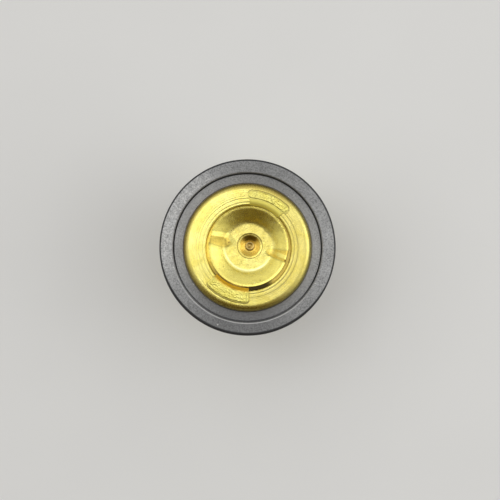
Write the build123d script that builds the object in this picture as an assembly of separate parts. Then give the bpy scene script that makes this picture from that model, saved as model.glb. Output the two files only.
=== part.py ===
from build123d import *
import math
import os

os.makedirs("parts", exist_ok=True)

# Wax thermostat with a rubber-ringed brass flange and a dish valve that lifts upward.
# Millimetres, +Z up. Z = 0 is the underside of the cage's foot, and the Z axis is the
# centre of the rubber seal. The cage's two legs lie on +Y and -Y.

# ---- Driving dimensions ----
# Rubber seal
seal_radius = 27.0  # outside, the size of the housing's counterbore
seal_height = 7.6
seal_band_width = 4.1  # the raised outer band
seal_band_step = 1.1  # the band stands this much above the inner lip
seal_edge = 0.5  # rounding of the outer edges
seal_inner_round = 0.25
seal_flute_width = 1.6  # shallow flute round the middle of the outside
seal_flute_depth = 0.5
seal_lip_gap = 0.1  # between the inner lip and the brass wall

# Brass flange ring
ring_top_z = 46.0
ring_rise = 5.4  # flat top above the middle of the rim and of the seal
ring_sheet = 0.8
ring_rim_cover = 2.6  # rubber outside the edge of the flat rim
ring_wall_inset = 7.4  # from the seal's outside in to the wall that rises from the rim
ring_shoulder = 1.9  # outside rounding from wall to flat top
ring_root_bend = 0.2  # outside bend at the foot of the wall and of the lip
ring_lip_gap = 0.35  # from the tabs' inner faces out to the lip that turns down
ring_lip_bend = 0.55  # outside rounding from flat top to lip
ring_lip_depth = 2.0  # flat top down to the ledge the dish closes on

# The cage and all it carries sit a little off the ring's centre
cage_shift = 0.35
cage_shift_angle = 74.0

# Cage
cage_radius = 15.2  # outside of the legs
cage_sheet = 0.7
cage_shoulder_width = 2.6  # from the legs in to the tabs, and to the shoulder's edge
cage_shoulder_bend = 1.5
tab_bend = 0.9  # inside radius of the fold
tab_length = 3.9  # from the tab's outer face to the folded pad's outer edge
tab_clearance = 0.1  # round a tab in the ring's slot
pad_span = 49.0  # degrees round the axis
neck_span = 43.0  # the +Y tab is narrower at its fold than at its pad
pad_gap = 1.15  # from the tab's outer face to the +Y pad's inner edge
pad_step = 0.12  # the coined pads stand this much above the fold
pad_end_round = 1.3  # +Y pad
pad_corner = 0.9  # -Y pad
leg_width = 14.0
leg_corner = 3.0  # rounding where a leg meets the shoulder or the foot
leg_taper_z = 13.0  # below this the legs lean in to the foot
leg_taper_bend = 6.0
skirt_height = 1.6  # the shoulder's edge turns down this far between the legs
foot_inset = 5.8  # from the legs in to the corner where the flat foot turns up
foot_bend = 2.0
foot_rim_z = 2.6  # the foot's upturned rim ends here between the legs
foot_collar_height = 3.0  # collar that grips the piston
foot_collar_bend = 0.9
bead_radius = 1.7  # pressed stiffening bead up each leg
bead_low_gap = 4.0  # above the taper
bead_high_gap = 6.5  # below the shoulder

# Valve dish
dish_sheet = 0.6
dish_clearance = 0.3  # to the tabs
dish_overlap = 0.5  # on the ledge
dish_land = 0.8  # flat rim outside the cone
dish_land_bend = 0.9
dish_cone_width = 4.1
dish_floor_depth = 2.6  # floor below the rim
dish_floor_bend = 2.6
thimble_mouth = 3.65
thimble_bottom = 2.5
thimble_depth = 3.6  # below the dish's floor
thimble_mouth_bend = 0.45
thimble_bottom_bend = 1.5
rib_angle = 10.0  # one pressed rib at this angle, and the other opposite it
rib_wall = 0.75  # upright thickness of the pressed metal in a rib
rib_edge_gap = 0.05  # a rib stays this far inside the dish's edge
rib_end_inset = 0.3  # the rim is drawn in this far at a rib
rib_end_width = 3.4
# Planes over each rib: distance out from the foot of the cone and sideways, as shares of the
# cone's width, height as a share of the floor's depth, then the slopes outward and sideways
rib_east = [
    (0, -0.33, 0, 0.75, 0.75),
    (0, 0.28, 0, 0.735, -0.65),
    (0.39, 0, 0.796, 0.3, 0),
    (1, -0.488, 1, 0, 0.75),
    (1, 0.446, 1, 0, -0.65),
    (1, 0, 1.135, 0, 0),
]
rib_west = [
    (0, -0.659, 0, 0.634, 0.55),
    (0, 0.549, 0, 0.634, -0.38),
    (1, -0.573, 1, 0, 0.25),
    (1, 0.512, 1, 0, -0.2),
]

# Wax capsule
capsule_passage = 8.2  # from its wall out to the outside of the legs
capsule_wall = 0.6
capsule_top_wall = 1.0
capsule_length = 13.2  # from the top to the crimped shoulder
crimp_width = 1.9  # the shoulder stands this far out
crimp_curl = 1.4  # how far the edge curls in under the guide
capsule_top_round = 1.2
crimp_round = 0.5
stud_radius = 0.95
stud_head_radius = 1.35
stud_head_height = 0.55
stud_head_round = 0.3
punch_radius = 0.45
punch_depth = 0.4
diaphragm_thickness = 1.0
guide_collar_height = 2.4
guide_nose_gap = 3.5  # nose above the foot's collar
guide_wall = 2.6  # round the piston
guide_root_step = 1.0
guide_root_height = 3.0
guide_chamfer = 0.8
plug_length = 3.2
slip_disc_thickness = 0.5
piston_radius = 2.0
piston_chamfer = 0.33
piston_recess = 0.15  # the piston's end stays above the foot's underside
piston_fit = 0.03  # radial running clearance in the guide

# Spring and its plate
plate_sheet = 0.7
plate_fit = 0.05  # round the capsule and its crimp
plate_inner_bend = 0.4
plate_depth = 5.8  # shoulder down to the spring's seat
plate_lip = 1.3  # upturned edge
plate_bend = 1.1
spring_wire = 1.9
spring_turns = 4.5  # between the two closed end turns
spring_grind = 0.5  # ground off each end
spring_end_gap = 0.06  # between an end turn and the next
spring_side_gap = 0.6  # to the legs at the top
spring_wall_gap = 0.5  # to the plate's wall at the bottom
spring_lip_gap = 0.35  # to the plate's upturned edge

# ---- Places worked out from them ----
seal_mid_z = ring_top_z - ring_rise
seal_band_inner = seal_radius - seal_band_width
ring_rim_radius = seal_radius - ring_rim_cover
ring_wall_radius = seal_radius - ring_wall_inset
seat_z = ring_top_z - ring_lip_depth
seat_ledge_z = seat_z - ring_sheet
shoulder_z = seat_ledge_z - cage_sheet  # underside of the cage's shoulder, over the spring
tab_inner = cage_radius - cage_shoulder_width
tab_outer = tab_inner + cage_sheet
tab_reach = tab_outer + tab_length
pad_inner = tab_outer + pad_gap
ring_lip_radius = tab_inner + ring_lip_gap
foot_radius = cage_radius - foot_inset
bead_low_z = leg_taper_z + bead_low_gap
bead_high_z = shoulder_z - bead_high_gap
dish_radius = tab_inner - dish_clearance
seat_opening = dish_radius - dish_overlap
dish_land_inner = dish_radius - dish_land
dish_floor_radius = dish_land_inner - dish_cone_width
rim_top_z = seat_z + dish_sheet
dish_floor_z = rim_top_z - dish_floor_depth
thimble_z = dish_floor_z - thimble_depth
capsule_radius = cage_radius - capsule_passage
capsule_top_z = thimble_z - dish_sheet
crimp_radius = capsule_radius + crimp_width
crimp_shoulder_z = capsule_top_z - capsule_length
collar_radius = crimp_radius - capsule_wall
diaphragm_z = crimp_shoulder_z - capsule_wall - diaphragm_thickness
guide_collar_z = diaphragm_z - guide_collar_height
guide_neck_radius = piston_radius + guide_wall
guide_root_radius = guide_neck_radius + guide_root_step
guide_nose_z = foot_collar_height + guide_nose_gap
piston_top_z = diaphragm_z - plug_length - slip_disc_thickness
bore_radius = piston_radius + piston_fit
plate_top_z = crimp_shoulder_z + plate_sheet
spring_seat_z = plate_top_z - plate_depth
plate_wall_radius = crimp_radius + plate_fit + plate_sheet
spring_top_radius = cage_radius - cage_sheet - spring_side_gap - spring_wire / 2
spring_bottom_radius = plate_wall_radius + spring_wall_gap + spring_wire / 2
plate_radius = spring_bottom_radius + spring_wire / 2 + spring_lip_gap + plate_sheet
off_centre = Pos(
    cage_shift * math.cos(math.radians(cage_shift_angle)),
    cage_shift * math.sin(math.radians(cage_shift_angle)),
    0,
)


# ---- Shared shapes ----
def section(points, bends, close=True):
    """Face in the X-Z plane inside corners given as (radius, height), each with its own bend."""
    outline = FilletPolyline(*points, radius=bends, close=close)
    return Rot(90, 0, 0) * make_face(outline.edges())


def turned(*outline):
    """Solid of revolution about Z from (radius, height) corners, with a bend as a third value."""
    bends = [corner[2] if len(corner) > 2 else 0 for corner in outline]
    return revolve(section([corner[:2] for corner in outline], bends), Axis.Z)


def sheet_section(points, bends, sheet):
    """Section of pressed sheet. Points follow one face, and the sheet lies to their left."""
    face = [Vector(r, z) for r, z in points]
    runs = [(b - a).normalized() for a, b in zip(face, face[1:])]
    lefts = [Vector(-run.Y, run.X) for run in runs]
    back = []
    for i, point in enumerate(face):
        before = lefts[max(i - 1, 0)]
        after = lefts[min(i, len(lefts) - 1)]
        back.append(point + (before + after) * (sheet / (1 + before.dot(after))))
    back_bends = []
    for bend, run, after in zip(bends, runs, runs[1:]):
        inward = run.cross(after).Z > 0
        back_bends.append(max(bend - sheet, 0) if inward else bend + sheet)
    outline = FilletPolyline(*face, radius=bends).edges()
    outline += FilletPolyline(*back[::-1], radius=back_bends[::-1]).edges()
    outline += [Line(face[0], back[0]), Line(face[-1], back[-1])]
    return Rot(90, 0, 0) * make_face(outline)


def pressed(points, bends, sheet):
    """Pressed sheet turned about Z."""
    return revolve(sheet_section(points, bends, sheet), Axis.Z)


def swung(face, middle, span):
    """A face in the X-Z plane swung about Z, centred on an angle. Both are in degrees."""
    return Rot(0, 0, middle - span / 2) * revolve(face, Axis.Z, span)


def sector(inner, outer, low, high, middle, span):
    """Arc-shaped block about Z."""
    corners = [(inner, low), (outer, low), (outer, high), (inner, high)]
    return swung(section(corners, 0), middle, span)


# ---- Rubber seal ----
def make_rubber_seal():
    half = seal_height / 2
    lip = half - seal_band_step
    rim = ring_sheet / 2
    flute = seal_flute_width / 2
    above = ring_wall_radius + seal_lip_gap
    below = ring_wall_radius - ring_sheet
    body = turned(
        (ring_rim_radius, rim),
        (above, rim, seal_inner_round),
        (above, lip, seal_inner_round),
        (seal_band_inner, lip, seal_inner_round),
        (seal_band_inner, half, seal_inner_round),
        (seal_radius, half, seal_edge),
        (seal_radius, flute),
        (seal_radius - seal_flute_depth, 0, flute),
        (seal_radius, -flute),
        (seal_radius, -half, seal_edge),
        (seal_band_inner, -half, seal_inner_round),
        (seal_band_inner, -lip, seal_inner_round),
        (below, -lip, seal_inner_round),
        (below, -rim),
        (ring_rim_radius, -rim),
    )
    return Pos(0, 0, seal_mid_z) * body


# ---- Flange ring ----
def tab_slots():
    """Two gaps in the lip and ledge that the cage's tabs rise through."""
    inner = tab_inner - tab_clearance
    outer = tab_outer + tab_bend + tab_clearance
    low = seat_ledge_z - ring_sheet
    high = ring_top_z + ring_sheet
    spare = math.degrees(2 * tab_clearance / tab_outer)
    return [
        sector(inner, outer, low, high, 90, neck_span + spare),
        sector(inner, outer, low, high, 270, pad_span + spare),
    ]


def make_flange_ring():
    face = [
        (ring_rim_radius, seal_mid_z + ring_sheet / 2),
        (ring_wall_radius, seal_mid_z + ring_sheet / 2),
        (ring_wall_radius, ring_top_z),
        (ring_lip_radius, ring_top_z),
        (ring_lip_radius, seat_z),
        (seat_opening - 2 * cage_shift, seat_z),
    ]
    ring = pressed(face, [ring_root_bend, ring_shoulder, ring_lip_bend, ring_root_bend], ring_sheet)
    ring -= off_centre * Pos(0, 0, seat_z) * Cylinder(seat_opening, 2 * ring_lip_depth)
    for slot in tab_slots():
        ring -= off_centre * slot
    return ring


# ---- Cage ----
def stadium(radius, low, high):
    """Upright round-ended bar."""
    bar = Cylinder(radius, high - low, align=(Align.CENTER, Align.CENTER, Align.MIN))
    return Pos(0, 0, low) * (bar + Sphere(radius) + Pos(0, 0, high - low) * Sphere(radius))


def make_tab(middle, neck, inner, corners, inner_free):
    """A tab that rises from the shoulder and folds out over the ring, with its coined pad.
    The pad's inner corners are rounded too where they stand free of the fold."""
    fold_end = pad_inner + pad_end_round
    face = [(fold_end, ring_top_z), (tab_outer, ring_top_z), (tab_outer, shoulder_z)]
    tab = swung(sheet_section(face[::-1], [tab_bend], cage_sheet), middle, neck)
    pad = sector(inner, tab_reach, ring_top_z, ring_top_z + cage_sheet + pad_step, middle, pad_span)
    uprights = pad.edges().filter_by(Axis.Z).sort_by(lambda e: math.hypot(e.center().X, e.center().Y))
    rounded = uprights if inner_free else uprights[2:]
    return tab + fillet(rounded, corners)


def make_cage():
    face = [
        (piston_radius, foot_collar_height),
        (piston_radius, 0),
        (foot_radius, 0),
        (cage_radius, leg_taper_z),
        (cage_radius, seat_ledge_z),
        (tab_inner, seat_ledge_z),
    ]
    bends = [foot_collar_bend, foot_bend, leg_taper_bend, cage_shoulder_bend]
    cage = pressed(face, bends, cage_sheet)
    window_top = shoulder_z - skirt_height
    corners = [
        (leg_width / 2, foot_rim_z),
        (2 * cage_radius, foot_rim_z),
        (2 * cage_radius, window_top),
        (leg_width / 2, window_top),
    ]
    window = extrude(section(corners, [leg_corner, 0, 0, leg_corner]), cage_radius, both=True)
    cage -= window
    cage -= mirror(window, Plane.YZ)
    inside = Cylinder(cage_radius - cage_sheet, 2 * ring_top_z)
    for side in (-1, 1):
        place = Pos(0, side * (cage_radius - cage_sheet / 2), 0)
        hollow = place * stadium(bead_radius - cage_sheet, bead_low_z, bead_high_z)
        bead = place * stadium(bead_radius, bead_low_z, bead_high_z)
        cage = cage - hollow + (bead - hollow - inside)
    cage += make_tab(90, neck_span, pad_inner, pad_end_round, inner_free=True)
    cage += make_tab(270, pad_span, tab_outer + tab_bend, pad_corner, inner_free=False)
    return off_centre * cage


# ---- Valve dish ----
def rib_block(planes):
    """Roof-shaped block along +X, under every one of a rib's planes."""
    size = 4 * dish_radius
    block = Pos(thimble_mouth + thimble_mouth_bend, 0, dish_floor_z - dish_floor_depth) * Box(
        size, size, size, align=(Align.MIN, Align.CENTER, Align.MIN)
    )
    for out, sideways, height, slope_out, slope_sideways in planes:
        place = (
            dish_floor_radius + out * dish_cone_width,
            sideways * dish_cone_width,
            dish_floor_z + height * dish_floor_depth,
        )
        face = Plane(place, z_dir=(-slope_out, -slope_sideways, 1))
        block &= face * Box(size, size, size, align=(Align.CENTER, Align.CENTER, Align.MAX))
    return block


def make_valve_dish():
    face = [
        (dish_radius, rim_top_z),
        (dish_land_inner, rim_top_z),
        (dish_floor_radius, dish_floor_z),
        (thimble_mouth, dish_floor_z),
        (thimble_bottom, thimble_z),
        (stud_radius, thimble_z),
    ]
    bends = [dish_land_bend, dish_floor_bend, thimble_mouth_bend, thimble_bottom_bend]
    dish = pressed(face, bends, dish_sheet)
    top = FilletPolyline(*face, radius=bends).edges()
    low = thimble_z - dish_sheet
    top += Polyline(face[0], (dish_radius, low), (stud_radius, low), face[-1]).edges()
    under = revolve(Rot(90, 0, 0) * make_face(top), Axis.Z)
    under = Pos(0, 0, -dish_sheet / 2) * under
    edge = Pos(0, 0, rim_top_z) * Cylinder(dish_radius - rib_edge_gap, 4 * dish_floor_depth)
    outward = (Align.MIN, Align.CENTER, Align.CENTER)
    end = Box(dish_radius, rib_end_width, 4 * dish_floor_depth, align=outward)
    for angle, shape in ((rib_angle, rib_east), (rib_angle + 180, rib_west)):
        rib = rib_block(shape)
        turn = Rot(0, 0, angle)
        raised = turn * (rib & edge) - under
        dish += raised
        dish -= turn * Pos(0, 0, -rib_wall) * rib
        dish -= turn * Pos(dish_radius - rib_end_inset, 0, rim_top_z) * end
    return off_centre * dish


# ---- Wax capsule ----
def make_capsule_cup():
    inside = capsule_radius - capsule_wall
    head_z = thimble_z + stud_head_height
    curl_z = guide_collar_z - capsule_wall
    cup = turned(
        (0, head_z - punch_depth),
        (punch_radius, head_z),
        (stud_head_radius, head_z, stud_head_round),
        (stud_head_radius, thimble_z),
        (stud_radius, thimble_z),
        (stud_radius, capsule_top_z),
        (capsule_radius, capsule_top_z, capsule_top_round),
        (capsule_radius, crimp_shoulder_z),
        (crimp_radius, crimp_shoulder_z, crimp_round),
        (crimp_radius, curl_z, crimp_round),
        (crimp_radius - crimp_curl, curl_z),
        (crimp_radius - crimp_curl, guide_collar_z),
        (collar_radius, guide_collar_z),
        (collar_radius, crimp_shoulder_z - capsule_wall),
        (inside, crimp_shoulder_z - capsule_wall),
        (inside, capsule_top_z - capsule_top_wall),
        (0, capsule_top_z - capsule_top_wall),
    )
    return off_centre * cup


def disc(radius, low, high, bore=0.0):
    """Plain round piece about Z."""
    return off_centre * turned((bore, low), (radius, low), (radius, high), (bore, high))


def make_wax_charge():
    low = diaphragm_z + diaphragm_thickness
    return disc(capsule_radius - capsule_wall, low, capsule_top_z - capsule_top_wall)


def make_diaphragm():
    return disc(collar_radius, diaphragm_z, diaphragm_z + diaphragm_thickness)


def make_piston_guide():
    root_z = guide_collar_z - guide_root_height
    guide = turned(
        (bore_radius, diaphragm_z),
        (collar_radius, diaphragm_z),
        (collar_radius, guide_collar_z),
        (guide_root_radius, guide_collar_z),
        (guide_root_radius, root_z),
        (guide_neck_radius, root_z),
        (guide_neck_radius, guide_nose_z + guide_chamfer),
        (guide_neck_radius - guide_chamfer, guide_nose_z),
        (bore_radius, guide_nose_z),
    )
    return off_centre * guide


def make_rubber_plug():
    return disc(piston_radius, diaphragm_z - plug_length, diaphragm_z)


def make_slip_disc():
    return disc(piston_radius, piston_top_z, piston_top_z + slip_disc_thickness)


def make_piston():
    pin = turned(
        (0, piston_recess),
        (piston_radius - piston_chamfer, piston_recess),
        (piston_radius, piston_recess + piston_chamfer),
        (piston_radius, piston_top_z - piston_chamfer),
        (piston_radius - piston_chamfer, piston_top_z),
        (0, piston_top_z),
    )
    return off_centre * pin


# ---- Spring and its plate ----
def make_spring_plate():
    wall = crimp_radius + plate_fit
    low_z = spring_seat_z - plate_sheet
    face = [
        (capsule_radius + plate_fit, crimp_shoulder_z),
        (wall, crimp_shoulder_z),
        (wall, low_z),
        (plate_radius, low_z),
        (plate_radius, low_z + plate_sheet + plate_lip),
    ]
    plate = pressed(face, [plate_inner_bend, plate_bend, plate_bend], plate_sheet)
    return off_centre * plate


def coil(pitch, height, radius, low, turn, cone=0.0):
    """One stretch of the spring's wire."""
    path = Helix(pitch, height, radius, cone_angle=cone)
    wire = sweep(Plane(path @ 0, z_dir=path % 0) * Circle(spring_wire / 2), path, is_frenet=True)
    return Pos(0, 0, low) * Rot(0, 0, turn) * wire


def make_return_spring():
    end_pitch = spring_wire + spring_end_gap
    first_z = spring_seat_z + spring_wire / 2 - spring_grind
    last_z = shoulder_z - spring_wire / 2 + spring_grind
    rise = last_z - first_z - 2 * end_pitch
    cone = math.degrees(math.atan2(spring_top_radius - spring_bottom_radius, rise))
    spring = coil(end_pitch, end_pitch, spring_bottom_radius, first_z, 0)
    middle_z = first_z + end_pitch
    spring += coil(rise / spring_turns, rise, spring_bottom_radius, middle_z, 0, cone)
    turn = 360 * spring_turns
    spring += coil(end_pitch, end_pitch, spring_top_radius, middle_z + rise, turn)
    length = shoulder_z - spring_seat_z
    between = Pos(0, 0, spring_seat_z + length / 2) * Cylinder(2 * cage_radius, length)
    return off_centre * (spring & between)


# ---- Write each piece ----
pieces = {
    "rubber_seal": make_rubber_seal,
    "flange_ring": make_flange_ring,
    "cage": make_cage,
    "valve_dish": make_valve_dish,
    "capsule_cup": make_capsule_cup,
    "wax_charge": make_wax_charge,
    "diaphragm": make_diaphragm,
    "rubber_plug": make_rubber_plug,
    "slip_disc": make_slip_disc,
    "piston_guide": make_piston_guide,
    "piston": make_piston,
    "spring_plate": make_spring_plate,
    "return_spring": make_return_spring,
}
for name, make in pieces.items():
    export_step(make(), f"parts/{name}.step")
    print("wrote", name)
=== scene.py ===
import math

import bmesh
import bpy
import numpy as np
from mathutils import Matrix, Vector


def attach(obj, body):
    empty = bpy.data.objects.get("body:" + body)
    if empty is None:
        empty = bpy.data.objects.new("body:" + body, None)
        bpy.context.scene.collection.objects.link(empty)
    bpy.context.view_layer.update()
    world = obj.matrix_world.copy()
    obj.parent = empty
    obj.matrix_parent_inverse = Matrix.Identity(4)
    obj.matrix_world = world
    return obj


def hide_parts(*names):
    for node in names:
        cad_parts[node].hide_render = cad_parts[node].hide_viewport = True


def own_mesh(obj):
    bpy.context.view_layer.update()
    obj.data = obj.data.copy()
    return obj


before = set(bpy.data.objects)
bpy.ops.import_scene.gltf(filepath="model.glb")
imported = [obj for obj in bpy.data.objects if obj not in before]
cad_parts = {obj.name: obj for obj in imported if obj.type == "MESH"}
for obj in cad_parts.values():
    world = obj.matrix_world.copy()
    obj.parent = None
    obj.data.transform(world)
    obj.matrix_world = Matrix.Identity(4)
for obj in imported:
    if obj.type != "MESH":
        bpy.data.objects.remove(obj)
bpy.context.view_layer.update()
print("loaded the frame")

# Sizes in the dictionaries are millimetres and degrees; meshes are written in metres.
mm = 0.001
viewTurn = 24.0  # the camera and the lights are turned this far about the part's axis


def atAngle(distance, degrees):
    # a place this far out from the axis, at this angle
    turn = math.radians(degrees)
    return distance * np.array([math.cos(turn), math.sin(turn)])


def fromView(right, up):
    # a place right of and above the axis as the camera sees it, in the part's own directions
    turn = math.radians(viewTurn)
    return np.array([
        right * math.cos(turn) - up * math.sin(turn), right * math.sin(turn) + up * math.cos(turn),
    ])


# The cage, the valve and all they carry stand a little off the ring's centre; then the small
# slips of the presswork: the dish on its capsule, the dish's thimble and the ring's lip
valveAxis = atAngle(0.35, 74.0)
dishAxis = valveAxis + fromView(0.10, 0.0)
thimbleSlip = fromView(0.38, 0.23)
lipSlip = fromView(0.30, -0.20)


def bentLine(corners, arcStep=7.0):
    # a closed line; each corner is cut back by bend * tan(turn / 2) on both runs, and an arc
    # takes its place
    line = []
    total = len(corners)
    for i, (x, y, *bend) in enumerate(corners):
        here = np.array((x, y), float)
        if not bend or bend[0] <= 0:
            line.append(here[None])
            continue
        before = np.array(corners[i - 1][:2], float) - here
        after = np.array(corners[(i + 1) % total][:2], float) - here
        before /= np.linalg.norm(before)
        after /= np.linalg.norm(after)
        half = 0.5 * math.acos(np.clip(before @ after, -1, 1))
        toward = before + after
        centre = here + toward / np.linalg.norm(toward) * bend[0] / math.sin(half)
        cut = bend[0] / math.tan(half)
        start, end = here + before * cut - centre, here + after * cut - centre
        first = math.atan2(start[1], start[0])
        sweep = (math.atan2(end[1], end[0]) - first + math.pi) % (2 * math.pi) - math.pi
        steps = max(3, math.ceil(abs(math.degrees(sweep)) / arcStep))
        turn = first + sweep * np.linspace(0, 1, steps + 1)
        line.append(centre + bend[0] * np.stack((np.cos(turn), np.sin(turn)), 1))
    return np.concatenate(line)


def spaced(line, gap):
    # the same closed line with more points, nowhere further apart than the gap
    line = np.vstack((line, line[:1]))
    steps = np.hypot(*np.diff(line, axis=0).T)
    counts = np.maximum(1, np.ceil(steps / gap)).astype(int)
    index = np.repeat(np.arange(len(steps)), counts)
    first = np.cumsum(counts) - counts
    share = (np.arange(counts.sum()) - first[index]) / counts[index]
    return line[index] + (line[index + 1] - line[index]) * share[:, None]


def sheetSection(corners, sheet, edge):
    # the back of the sheet is its face moved left by the thickness, with mitred corners;
    # a bend grows or shrinks by the thickness, and the cut edges get a small bend of their own
    face = np.array([corner[:2] for corner in corners], float)
    bends = [corner[2] if len(corner) > 2 else 0.0 for corner in corners]
    runs = np.diff(face, axis=0)
    runs /= np.linalg.norm(runs, axis=1)[:, None]
    lefts = np.stack((-runs[:, 1], runs[:, 0]), 1)
    before = np.vstack((lefts[:1], lefts))
    after = np.vstack((lefts, lefts[-1:]))
    back = face + (before + after) * sheet / (1 + (before * after).sum(1))[:, None]
    turns = np.zeros(len(face))
    turns[1:-1] = runs[:-1, 0] * runs[1:, 1] - runs[:-1, 1] * runs[1:, 0]
    backBends = [max(b - sheet, 0) if t > 0 else b + sheet for b, t in zip(bends, turns)]
    bends[0] = bends[-1] = backBends[0] = backBends[-1] = edge
    front = [(x, y, b) for (x, y), b in zip(face, bends)]
    rear = [(x, y, b) for (x, y), b in zip(back, backBends)]
    return bentLine(front + rear[::-1])


def addObject(name, data):
    made = bpy.data.objects.new(name, data)
    bpy.context.scene.collection.objects.link(made)
    return made


def paint(made, material):
    made.data.materials.clear()
    made.data.materials.append(material)


def gridObject(name, grid, wrapRows=True, wrapColumns=True):
    # quads between neighbours of a (rows, columns, 3) grid in millimetres; doubles at a pole merge
    rows, columns = grid.shape[:2]
    index = np.arange(rows * columns).reshape(rows, columns)
    across = index if not wrapRows else np.vstack((index, index[:1]))
    across = across if not wrapColumns else np.hstack((across, across[:, :1]))
    quads = np.stack((across[:-1, :-1], across[:-1, 1:], across[1:, 1:], across[1:, :-1]), -1)
    quads = quads.reshape(-1, 4).astype(np.int32)
    mesh = bpy.data.meshes.new(name)
    mesh.vertices.add(rows * columns)
    mesh.vertices.foreach_set("co", (grid.reshape(-1, 3) * mm).ravel())
    mesh.loops.add(quads.size)
    mesh.loops.foreach_set("vertex_index", quads.ravel())
    mesh.polygons.add(len(quads))
    mesh.polygons.foreach_set("loop_start", np.arange(0, quads.size, 4, dtype=np.int32))
    mesh.update(calc_edges=True)
    made = addObject(name, mesh)
    cleanMesh(made)
    return made


def cleanMesh(made):
    # doubles merge, holes at the ends close, and the faces are turned outward
    distance = 2e-7  # metres
    shape = bmesh.new()
    shape.from_mesh(made.data)
    bmesh.ops.remove_doubles(shape, verts=shape.verts, dist=distance)
    bmesh.ops.dissolve_degenerate(shape, edges=shape.edges, dist=distance / 2)
    openEdges = [e for e in shape.edges if e.is_boundary]
    if openEdges:
        bmesh.ops.holes_fill(shape, edges=openEdges, sides=0)
    bmesh.ops.recalc_face_normals(shape, faces=shape.faces)
    shape.to_mesh(made.data)
    shape.free()


def cornersOf(made):
    # an (n, 3) array in millimetres
    points = np.empty(len(made.data.vertices) * 3)
    made.data.vertices.foreach_get("co", points)
    return points.reshape(-1, 3) / mm


def reshaped(made, change):
    # the corners are put through a function
    made.data.vertices.foreach_set("co", (change(cornersOf(made)) * mm).ravel())
    made.data.update()


def eased(value, start, end):
    # 0 before start, 1 after end, eased between them; start may lie above end
    share = np.clip((value - start) / (end - start), 0, 1)
    return share * share * (3 - 2 * share)


def smoothed(made, angle):
    made.data.polygons.foreach_set("use_smooth", np.ones(len(made.data.polygons), bool))
    made.data.set_sharp_from_angle(angle=math.radians(angle))


def turned(name, section, columns, centre=(0.0, 0.0), reshape=None):
    # a closed (radius, height) section carried round an upright axis
    turn = np.linspace(0, 2 * math.pi, columns, endpoint=False)[None, :]
    radius = np.repeat(section[:, :1], columns, 1)
    height = np.repeat(section[:, 1:], columns, 1)
    if reshape:
        radius, height = reshape(radius, height, turn + 0 * radius)
    x = centre[0] + radius * np.cos(turn)
    y = centre[1] + radius * np.sin(turn)
    return gridObject(name, np.stack((x, y, height), -1))


def carve(made, cutter):
    # the cutter's shape is taken out of the mesh at once, and the cutter is used up
    step = made.modifiers.new("carve", "BOOLEAN")
    step.operation = "DIFFERENCE"
    step.object = cutter
    step.solver = "EXACT"
    bpy.context.view_layer.update()
    solved = bpy.data.meshes.new_from_object(
        made.evaluated_get(bpy.context.evaluated_depsgraph_get())
    )
    made.modifiers.clear()
    made.data = solved
    bpy.data.objects.remove(cutter)


def sectorBlock(name, inner, outer, low, high, middle, span, centre, columns=33):
    # arc-shaped block: a closed rectangle swept round the axis between two angles
    box = np.array(((inner, low), (outer, low), (outer, high), (inner, high)))
    turn = np.radians(middle + span * np.linspace(-0.5, 0.5, columns))[None, :]
    x = centre[0] + box[:, :1] * np.cos(turn)
    y = centre[1] + box[:, :1] * np.sin(turn)
    grid = np.stack((x, y, box[:, 1:] + 0 * turn), -1)
    return gridObject(name, grid, wrapColumns=False)


def roundBlock(name, radius, low, high, centre, columns=360):
    # upright round block
    section = np.array(((0, low), (radius, low), (radius, high), (0, high)), float)
    return turned(name, section, columns, centre)


def place(made, body, node, material):
    paint(made, material)
    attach(made, body)
    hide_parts(node)
    print("made", made.name, len(made.data.polygons), "faces")


class Wire:
    # an output socket; sums on it add Math nodes
    def __init__(self, graph, socket):
        self.graph = graph
        self.socket = socket

    def maths(self, operation, *values):
        return self.graph.node("ShaderNodeMath", {"operation": operation}, dict(enumerate(values)))

    def __add__(self, other):
        return self.maths("ADD", self, other)

    __radd__ = __add__

    def __sub__(self, other):
        return self.maths("SUBTRACT", self, other)

    def __rsub__(self, other):
        return self.maths("SUBTRACT", other, self)

    def __mul__(self, other):
        return self.maths("MULTIPLY", self, other)

    __rmul__ = __mul__

    def __truediv__(self, other):
        return self.maths("DIVIDE", self, other)

    def __abs__(self):
        return self.maths("ABSOLUTE", self)

    def larger(self, other):
        return self.maths("MAXIMUM", self, other)

    def smaller(self, other):
        return self.maths("MINIMUM", self, other)

    def root(self):
        return self.maths("SQRT", self)


class Graph:
    def __init__(self, tree):
        self.tree = tree

    def node(self, kind, settings=None, values=None, output=0):
        made = self.tree.nodes.new(kind)
        for name, value in (settings or {}).items():
            setattr(made, name, value)
        for name, value in (values or {}).items():
            if isinstance(value, Wire):
                self.tree.links.new(value.socket, made.inputs[name])
            else:
                made.inputs[name].default_value = value
        return Wire(self, made.outputs[output])

    def axes(self, vector):
        parts = self.node("ShaderNodeSeparateXYZ", None, {0: vector}).socket.node
        return tuple(Wire(self, socket) for socket in parts.outputs)

    def step(self, value, start, end):
        # 0 before start, 1 after end, eased between them; start may lie above end
        limits = {"Value": value, "From Min": start, "From Max": end}
        return self.node("ShaderNodeMapRange", {"interpolation_type": "SMOOTHSTEP"}, limits)

    def mix(self, factor, first, second):
        values = {0: factor, 6: first, 7: second}
        return self.node("ShaderNodeMix", {"data_type": "RGBA"}, values, output=2)


speckEdge = (0.16, 0.10)  # where a speck fades in, as shares of its cell
speckPick = 0.001  # how sharply its cell is picked by colour


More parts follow.
